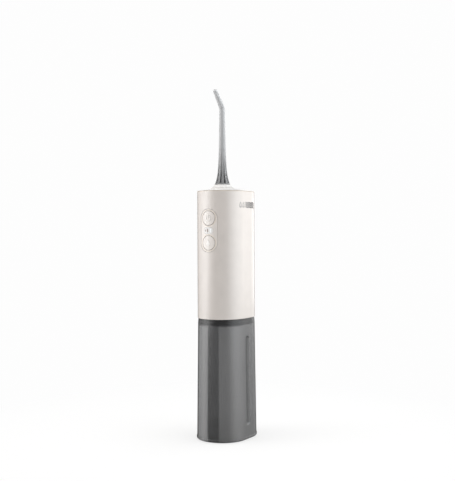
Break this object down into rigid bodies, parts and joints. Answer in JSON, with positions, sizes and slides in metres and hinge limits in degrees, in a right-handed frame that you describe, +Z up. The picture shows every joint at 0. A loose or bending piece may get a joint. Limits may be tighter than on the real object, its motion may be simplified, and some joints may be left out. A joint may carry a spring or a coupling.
{
  "type": "water flosser",
  "caption": "Cordless water flosser: oval handset with two round buttons and a swivelling bent jet nozzle, lifting off a smoky see-through water tank with a hinged filler door.",
  "frame": {"origin": "middle of the foot pad's flat underside", "axes": "+Z up along the handset, -Y out of the front with the two buttons, +X to the right-hand side"},
  "size_m": [0.0446, 0.0586, 0.296],
  "materials": {
    "smoky_tank": "smooth, see-through smoky grey",
    "black_rubber": "matt",
    "steel": "plain",
    "ivory_plastic": "fine satin moulding, warm white",
    "white_lens": "milky diffuser",
    "dark_plastic": "satin",
    "grey_rubber": "matt, matched to the housing",
    "white_acetal": "smooth acetal",
    "silicone": "milky soft tube",
    "nickel": "plated can",
    "bronze": "sintered",
    "cell_wrap": "shrink sleeve",
    "board_green": "solder mask",
    "chip_black": "moulded epoxy",
    "lamp_white": "lamp encapsulant",
    "wire_red": "insulated wire",
    "grey_nozzle": "see-through grey"
  },
  "bodies": {
    "tank": {"tank_shell": "smoky_tank", "tank_base": "smoky_tank", "foot_pad": "black_rubber", "door_hinge_pin": "steel"},
    "filler_door": {"filler_door": "smoky_tank", "filler_seal": "black_rubber"},
    "handset": {"main_housing": "ivory_plastic", "top_cap": "ivory_plastic", "control_bezel": "ivory_plastic", "indicator_lens": "white_lens", "light_pipes": "white_lens", "bulkhead": "dark_plastic", "chassis": "dark_plastic", "tank_seal": "black_rubber", "cover_anchor": "grey_rubber", "housing_screws": "steel", "motor_screws": "steel", "barrel_screws": "steel", "pump_screws": "steel", "board_screws": "steel", "release_spring": "steel", "outlet_spring": "steel", "charge_port": "steel", "suction_fitting": "white_acetal", "pump_barrel": "white_acetal", "pump_head": "white_acetal", "nozzle_socket": "white_acetal", "pickup_tube": "silicone", "inlet_hose": "silicone", "intake_filter": "dark_plastic", "motor_body": "nickel", "gear_bush": "bronze", "battery": "cell_wrap", "circuit_board": "board_green", "charge_board": "board_green", "tact_switches": "chip_black", "board_chips": "chip_black", "indicator_lamps": "lamp_white", "battery_leads": "wire_red", "motor_leads": "wire_red"},
    "power_button": {"power_button": "ivory_plastic"},
    "mode_button": {"mode_button": "ivory_plastic"},
    "release": {"release_button": "ivory_plastic", "latch_plate": "dark_plastic"},
    "port_cover": {"port_cover": "grey_rubber"},
    "nozzle_dial": {"nozzle_dial": "ivory_plastic", "dial_clip": "steel"},
    "nozzle": {"jet_nozzle": "grey_nozzle", "nozzle_o_ring": "black_rubber"},
    "crank": {"crank_gear": "white_acetal", "crank_pin": "steel", "gear_clip": "steel", "crank_roller": "bronze"},
    "motor_rotor": {"motor_shaft": "steel", "pinion": "bronze"},
    "piston": {"piston_yoke": "white_acetal", "piston_seal": "black_rubber"},
    "inlet_valve": {"inlet_ball": "steel"},
    "outlet_valve": {"outlet_ball": "steel"}
  },
  "joints": [
    {"name": "handset_lift", "type": "slide", "parent": "tank", "child": "handset", "axis": [0, 0, 1], "range_m": [0, 0.11]},
    {"name": "filler_door_hinge", "type": "hinge", "parent": "tank", "child": "filler_door", "pos_m": [0, 0.02832, 0.0509], "axis": [1, 0, 0], "range_deg": [0, 110]},
    {"name": "nozzle_spin", "type": "hinge", "parent": "handset", "child": "nozzle_dial", "pos_m": [0, -0.0055, 0.215], "axis": [0, 0, 1], "continuous": true},
    {"name": "nozzle_pull", "type": "slide", "parent": "nozzle_dial", "child": "nozzle", "axis": [0, 0, 1], "range_m": [0, 0.024]},
    {"name": "power_press", "type": "slide", "parent": "handset", "child": "power_button", "axis": [0, 1, 0], "range_m": [0, 0.0007], "stiffness_N_per_m": 900, "springref_m": -0.0005},
    {"name": "mode_press", "type": "slide", "parent": "handset", "child": "mode_button", "axis": [0, 1, 0], "range_m": [0, 0.0007], "stiffness_N_per_m": 900, "springref_m": -0.0005},
    {"name": "release_press", "type": "slide", "parent": "handset", "child": "release", "axis": [0, -1, 0], "range_m": [0, 0.002], "stiffness_N_per_m": 400, "springref_m": -0.002, "deforming": ["release_spring"]},
    {"name": "port_cover_hinge", "type": "hinge", "parent": "handset", "child": "port_cover", "pos_m": [0, 0.0269, 0.17205], "axis": [1, 0, 0], "range_deg": [0, 100]},
    {"name": "crank_turn", "type": "hinge", "parent": "handset", "child": "crank", "pos_m": [0, 0.0071, 0.136], "axis": [0, 1, 0], "range_deg": [0, 180]},
    {"name": "motor_spin", "type": "hinge", "parent": "handset", "child": "motor_rotor", "pos_m": [0, -0.005, 0.122], "axis": [0, 1, 0], "continuous": true},
    {"name": "piston_stroke", "type": "slide", "parent": "handset", "child": "piston", "axis": [0, 0, 1], "range_m": [-0.004, 0]},
    {"name": "inlet_valve_lift", "type": "slide", "parent": "handset", "child": "inlet_valve", "axis": [0, 0, 1], "range_m": [0, 0.001]},
    {"name": "outlet_valve_lift", "type": "slide", "parent": "handset", "child": "outlet_valve", "axis": [0, 0, 1], "range_m": [0, 0.0008], "stiffness_N_per_m": 60, "springref_m": -0.001, "deforming": ["outlet_spring"]}
  ],
  "couplings": [
    {"joint": "crank_turn", "follows": "piston_stroke", "rad_per_m": -785.39},
    {"joint": "motor_spin", "follows": "piston_stroke", "rad_per_m": 2356.2}
  ]
}
